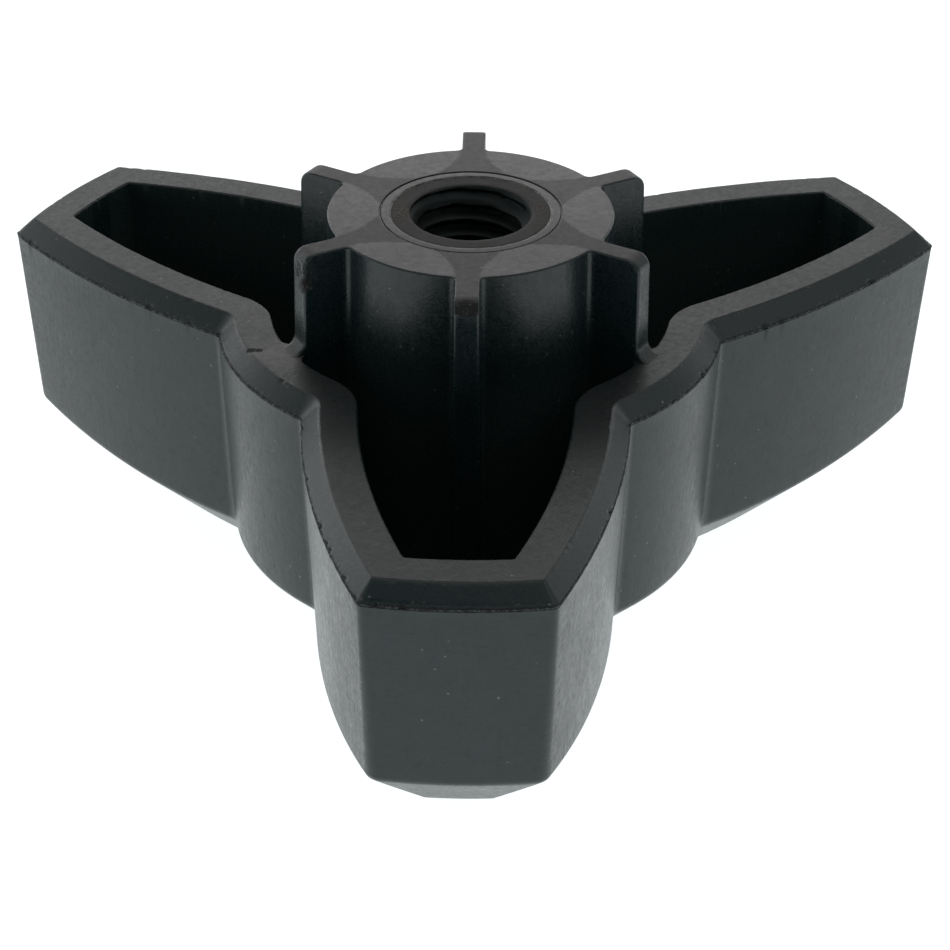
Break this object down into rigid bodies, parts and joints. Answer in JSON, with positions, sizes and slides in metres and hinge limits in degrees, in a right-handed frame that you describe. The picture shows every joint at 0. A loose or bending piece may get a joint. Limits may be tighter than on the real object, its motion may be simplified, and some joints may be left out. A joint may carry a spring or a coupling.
{
  "type": "wing nut",
  "caption": "Moulded lobed hand nut with a hollow underside, a ribbed hub standing proud of the rim and a blind threaded metal insert.",
  "frame": {"origin": "on the thread axis, at the flat middle of the closed crown on which the nut lies", "axes": "+Z along the thread axis, from the crown towards the hub's open face; -Y along one lobe, the others at 30 and 150 degrees from +X"},
  "size_m": [0.0796, 0.0697, 0.034],
  "materials": {
    "body_plastic": "fine textured black glass-filled nylon, smoother sheen on the rim and hub flats",
    "insert_metal": "blackened steel, dark and slightly worn on the thread crests"
  },
  "bodies": {
    "root": {"moulded_body": "body_plastic", "threaded_insert": "insert_metal"}
  },
  "joints": []
}
